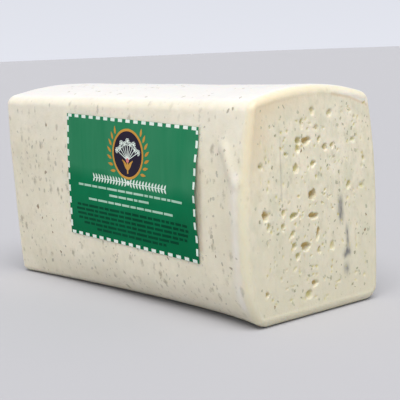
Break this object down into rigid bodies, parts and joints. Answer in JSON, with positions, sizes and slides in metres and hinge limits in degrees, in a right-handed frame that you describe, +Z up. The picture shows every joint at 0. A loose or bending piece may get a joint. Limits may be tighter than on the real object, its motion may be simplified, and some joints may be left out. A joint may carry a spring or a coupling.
{
  "type": "dill havarti cheese loaf",
  "caption": "Rectangular loaf of semi-soft havarti cheese with dill, domed on top, its cut end pitted with small eyes, with a printed green label on one long side.",
  "frame": {"origin": "centre of the footprint, on the surface that the loaf rests on", "axes": "+X along the loaf toward the cut end, -Y toward the labelled long side, +Z up"},
  "size_m": [0.258, 0.118, 0.139],
  "materials": {
    "cheese": "ivory semi-soft cheese, satin, flecked with dill",
    "label": "glossy green printed film with a white dashed border"
  },
  "bodies": {
    "root": {"cheese_block": "cheese", "label": "label"}
  },
  "joints": []
}
